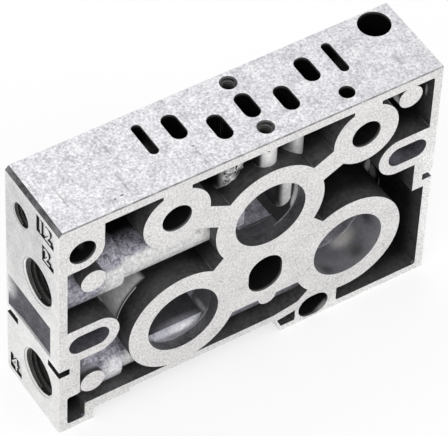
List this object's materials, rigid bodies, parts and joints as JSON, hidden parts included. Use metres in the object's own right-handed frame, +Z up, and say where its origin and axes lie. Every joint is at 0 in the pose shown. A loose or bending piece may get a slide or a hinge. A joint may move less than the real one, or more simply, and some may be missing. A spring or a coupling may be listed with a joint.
{
  "type": "valve manifold sub-base",
  "caption": "die-cast and machined aluminium sub-base for one pneumatic valve: slotted valve face, end ports, cored front with three large gallery bores",
  "frame": {"origin": "under the middle of the base, on the plane of the two feet", "axes": "X along the length away from the ported end, Y from the cored front face to the back face, Z up through the valve face"},
  "size_m": [0.1118, 0.026, 0.0764],
  "materials": {
    "casting": "machined faces on a rougher as-cast body"
  },
  "bodies": {
    "root": {"manifold_base": "casting"}
  },
  "joints": []
}
